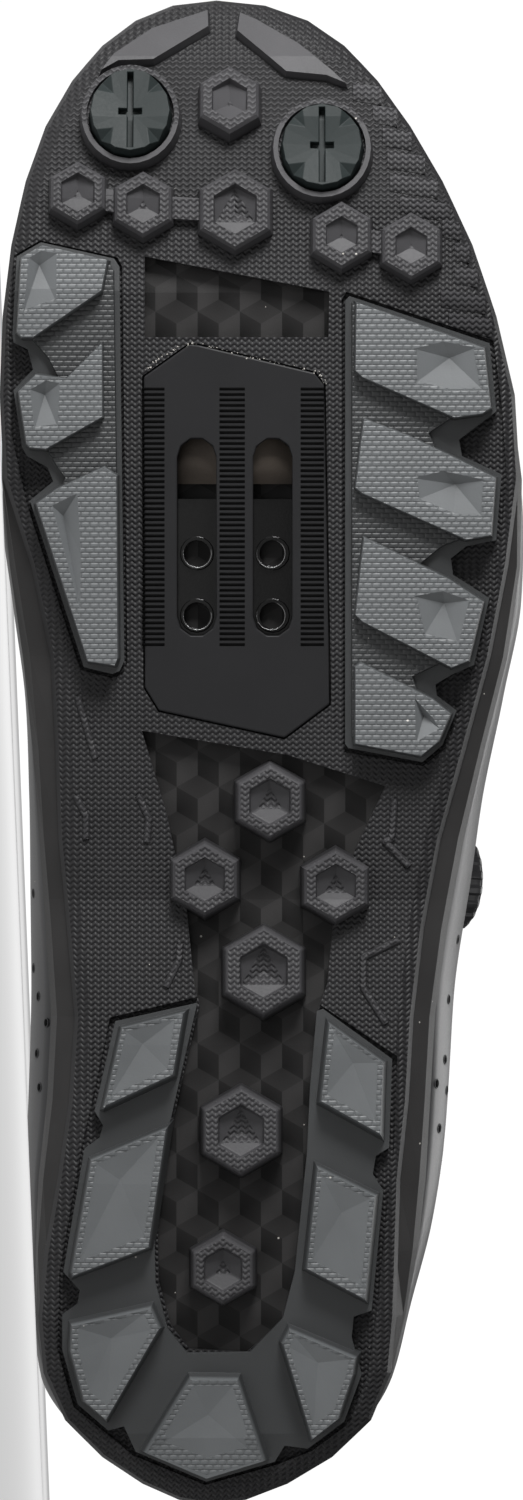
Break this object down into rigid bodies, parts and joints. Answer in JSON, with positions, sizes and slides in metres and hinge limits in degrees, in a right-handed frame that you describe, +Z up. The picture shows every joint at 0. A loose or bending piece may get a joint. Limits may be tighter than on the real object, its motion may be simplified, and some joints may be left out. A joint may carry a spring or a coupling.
{
  "type": "cycling shoe",
  "caption": "Empty left off-road cycling shoe on its side, with lugged two-colour sole, slotted cleat plate, screw-in toe studs and a side lace dial.",
  "frame": {"origin": "on the floor under the middle of the shoe as it lies on its medial side", "axes": "+X from toe to heel, the sole faces -Y, +Z up through the lateral side"},
  "size_m": [0.2798, 0.1094, 0.0962],
  "materials": {
    "black_rubber": "moulded, fine zigzag tread texture",
    "grey_rubber": "moulded grey rubber with a fine brick texture",
    "nylon_plate": "satin black nylon",
    "cleat_plate": "smooth satin nylon with scale marks",
    "nut_steel": "black coated steel",
    "stud_nylon": "green grey nylon",
    "upper_fabric": "coated fabric with a fine twill grain",
    "tongue_fabric": "padded knit",
    "insole_foam": "fabric topped foam",
    "dial_plastic": "moulded black plastic",
    "lace_fibre": "smooth round lace"
  },
  "bodies": {
    "root": {"outsole": "black_rubber", "sole_plate": "nylon_plate", "cleat_plate": "cleat_plate", "cleat_nut": "nut_steel", "lug_medial": "grey_rubber", "lug_lateral": "grey_rubber", "lug_heel": "grey_rubber", "hex_lug_1": "black_rubber", "hex_lug_2": "black_rubber", "hex_lug_3": "black_rubber", "hex_lug_4": "black_rubber", "toe_stud_medial": "stud_nylon", "toe_stud_lateral": "stud_nylon", "upper": "upper_fabric", "tongue": "tongue_fabric", "insole": "insole_foam", "dial_base": "dial_plastic", "dial_knob": "dial_plastic", "lace_guide_1": "dial_plastic", "lace_guide_2": "dial_plastic", "lace_guide_3": "dial_plastic", "lace_guide_4": "dial_plastic", "lace_guide_5": "dial_plastic", "lace_guide_6": "dial_plastic", "lace_bar_1": "lace_fibre", "lace_bar_2": "lace_fibre", "lace_bar_3": "lace_fibre"}
  },
  "joints": []
}
